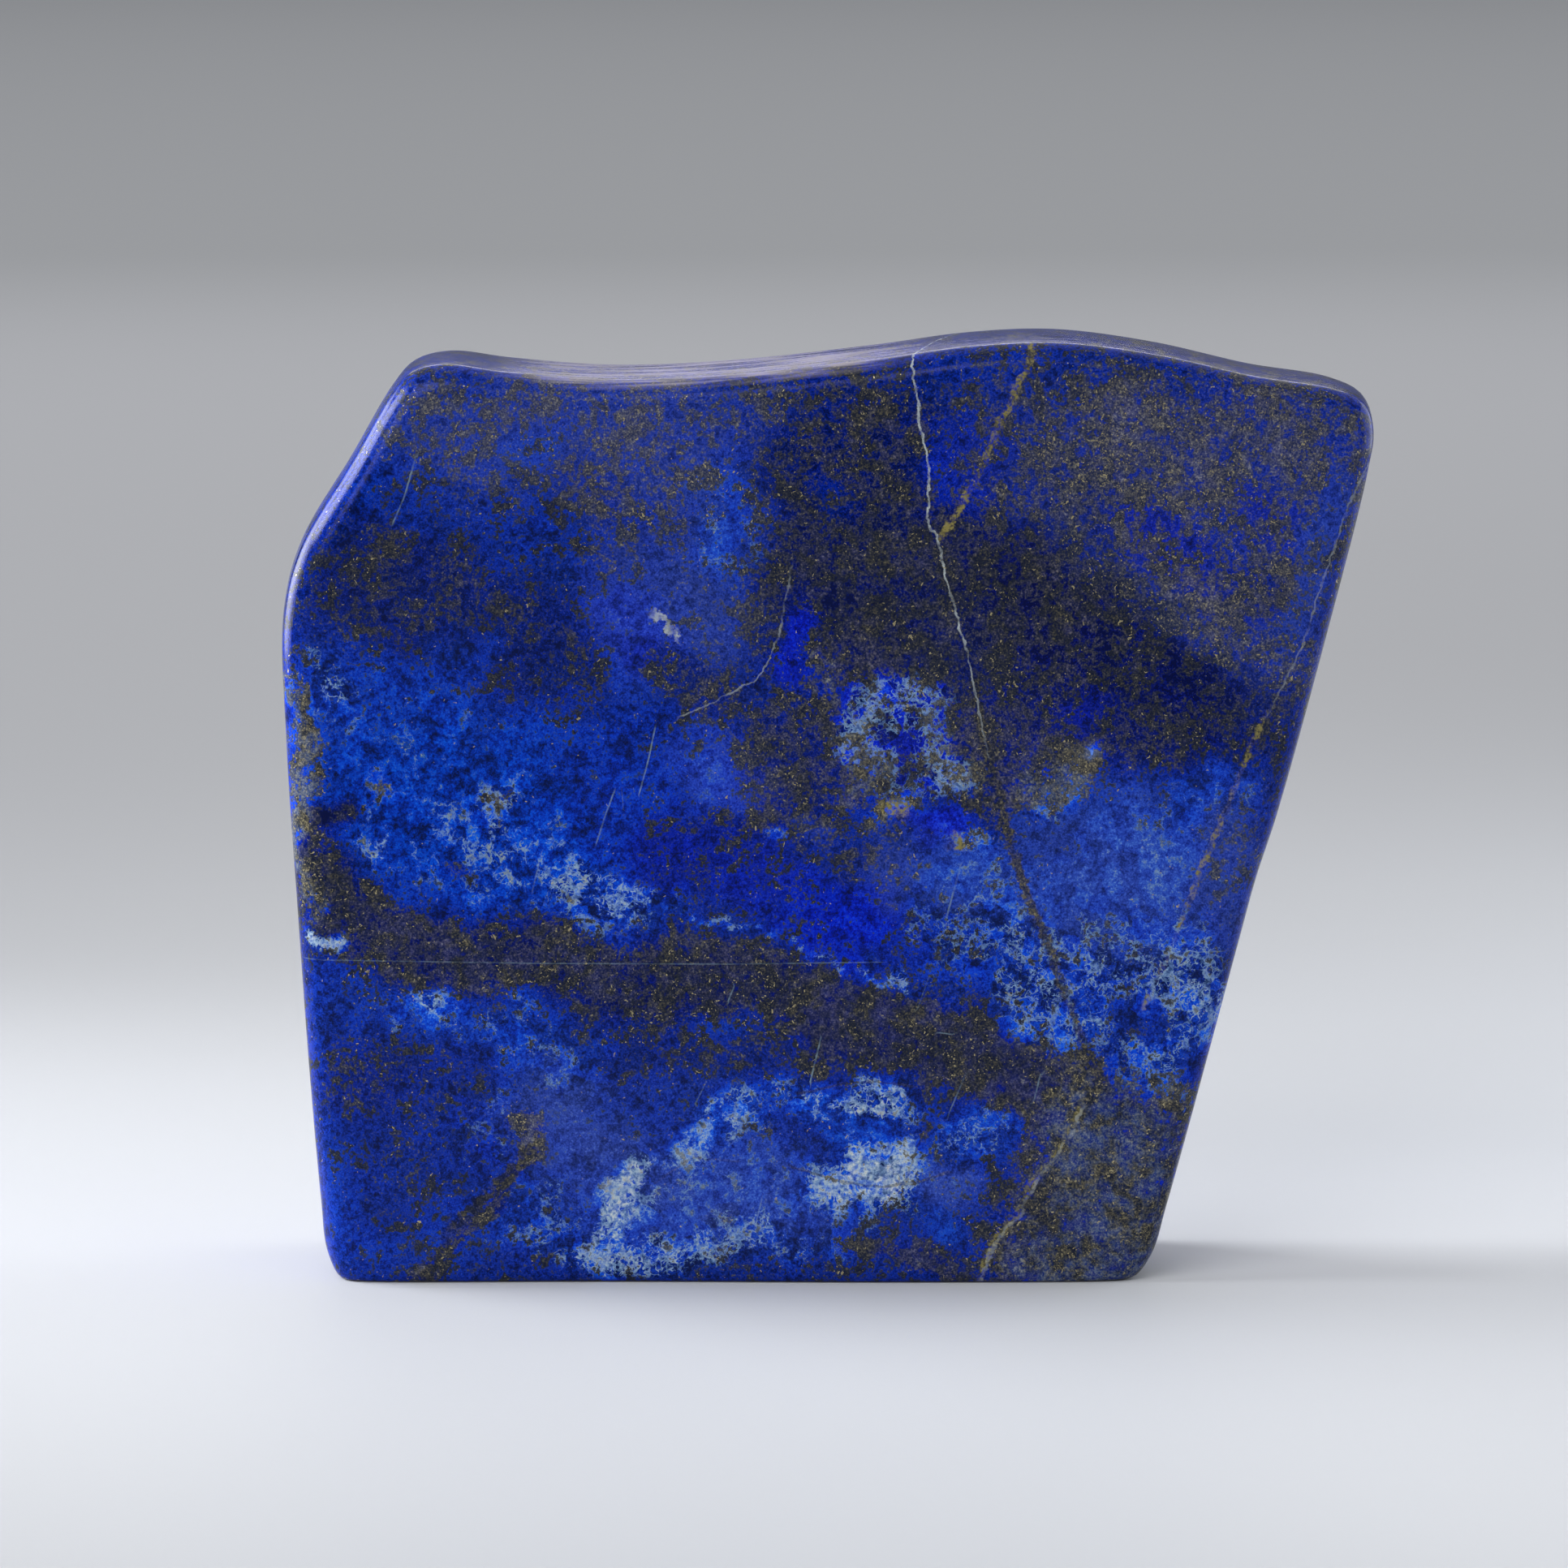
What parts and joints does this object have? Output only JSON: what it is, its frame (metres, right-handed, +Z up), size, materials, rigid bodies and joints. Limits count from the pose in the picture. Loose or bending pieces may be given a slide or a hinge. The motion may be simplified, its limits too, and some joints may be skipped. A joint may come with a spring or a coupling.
{
  "type": "lapis lazuli slab",
  "caption": "Free-form upright slab of polished blue stone, flat underneath so it stands, with two broad faces, a wavy top and rounded edges.",
  "frame": {"origin": "middle of the slab's bounding box at the height of its sawn flat base", "axes": "+Z up from the base, +X to the right across the broad face, +Y from the front face through the slab to the back face, so the front face looks along -Y"},
  "size_m": [0.1124, 0.0272, 0.0975],
  "materials": {
    "lapis": "hand polished"
  },
  "bodies": {
    "root": {"lapis_slab": "lapis"}
  },
  "joints": []
}
